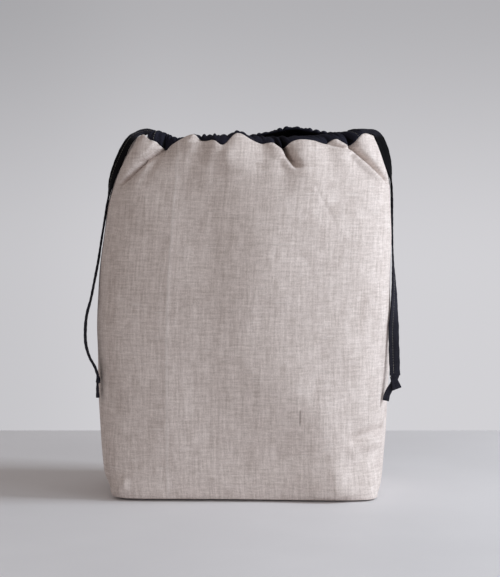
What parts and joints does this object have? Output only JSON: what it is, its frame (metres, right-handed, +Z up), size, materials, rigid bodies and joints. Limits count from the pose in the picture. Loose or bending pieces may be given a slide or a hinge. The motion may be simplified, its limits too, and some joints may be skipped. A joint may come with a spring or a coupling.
{
  "type": "project bag",
  "caption": "Soft linen drawstring bag standing on a boxed flat base, its mouth gathered by a dark ruched casing, with a knotted flat tie hanging at each side.",
  "frame": {"origin": "middle of the base, on the surface that the bag stands on", "axes": "+Z up, front panel towards -Y, +X to the right of the front"},
  "size_m": [0.2975, 0.15, 0.3466],
  "materials": {
    "linen": "natural linen in plain weave with slubs, matt",
    "casing": "navy cotton, ruched, matt",
    "tie": "navy cotton strip, folded and stitched, matt"
  },
  "bodies": {
    "root": {"linen_front": "linen", "linen_back": "linen", "casing_front": "casing", "casing_back": "casing", "tie_left": "tie", "tie_right": "tie", "knot_left": "tie", "knot_right": "tie"}
  },
  "joints": []
}
